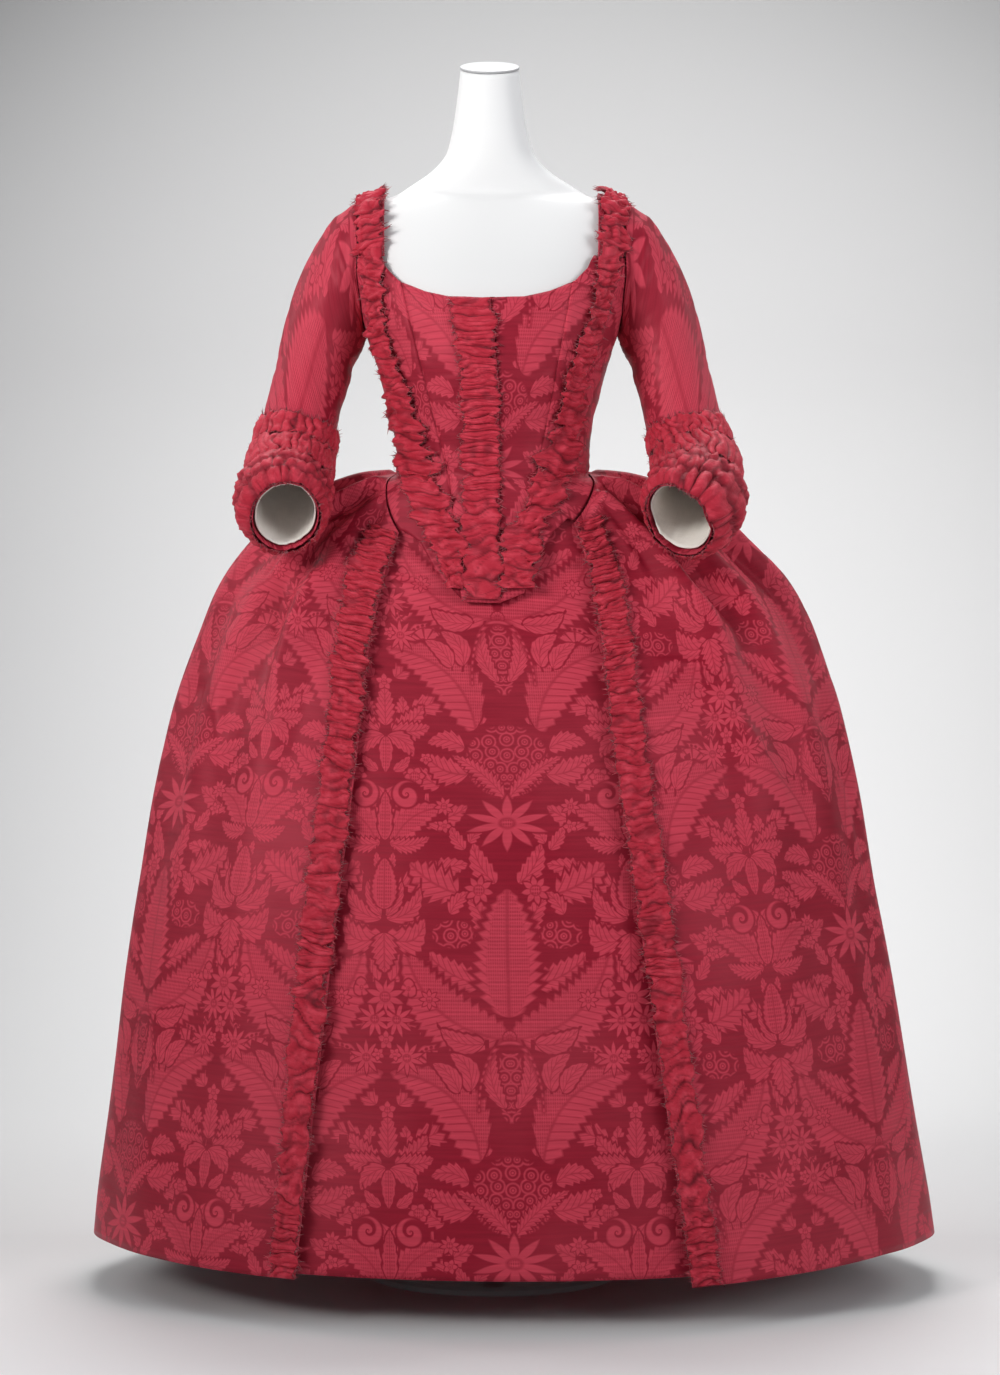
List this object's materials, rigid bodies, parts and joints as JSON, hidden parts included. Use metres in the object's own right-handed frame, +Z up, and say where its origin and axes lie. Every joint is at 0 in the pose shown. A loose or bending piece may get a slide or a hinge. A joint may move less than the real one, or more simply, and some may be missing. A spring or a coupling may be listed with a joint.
{
  "type": "mantua on a dress form",
  "caption": "Open gown with fitted pointed bodice, elbow sleeves, ruched trims and a wide hooped petticoat, standing on a limbless dress form.",
  "frame": {"origin": "on the floor, under the middle of the hem", "axes": "+Z up, the front of the gown faces -Y, +X to the right of a viewer in front of it"},
  "size_m": [1.0394, 0.7447, 1.5029],
  "materials": {
    "silk_damask": "crimson silk damask, matt figure on a satin ground",
    "silk_ruche": "gathered crimson silk with pinked edges",
    "linen_lining": "plain unbleached linen",
    "form_white": "smooth white, satin",
    "cap_grey": "grey, matt",
    "stand_steel": "pale grey, matt"
  },
  "bodies": {
    "root": {"dress_form": "form_white", "neck_cap": "cap_grey", "stand_pole": "stand_steel", "stand_base": "stand_steel", "petticoat": "silk_damask", "gown_skirt_left": "silk_damask", "gown_skirt_right": "silk_damask", "bodice_front_left": "silk_damask", "bodice_front_right": "silk_damask", "bodice_side_left": "silk_damask", "bodice_side_right": "silk_damask", "bodice_back_left": "silk_damask", "bodice_back_right": "silk_damask", "shoulder_strap_left": "silk_damask", "shoulder_strap_right": "silk_damask", "sleeve_left": "silk_damask", "sleeve_right": "silk_damask", "sleeve_lining_left": "linen_lining", "sleeve_lining_right": "linen_lining", "cuff_upper_left": "silk_ruche", "cuff_middle_left": "silk_ruche", "cuff_lower_left": "silk_ruche", "cuff_upper_right": "silk_ruche", "cuff_middle_right": "silk_ruche", "cuff_lower_right": "silk_ruche", "centre_front_ruche": "silk_ruche", "robing_left": "silk_ruche", "robing_right": "silk_ruche", "skirt_ruche_left": "silk_ruche", "skirt_ruche_right": "silk_ruche"}
  },
  "joints": []
}
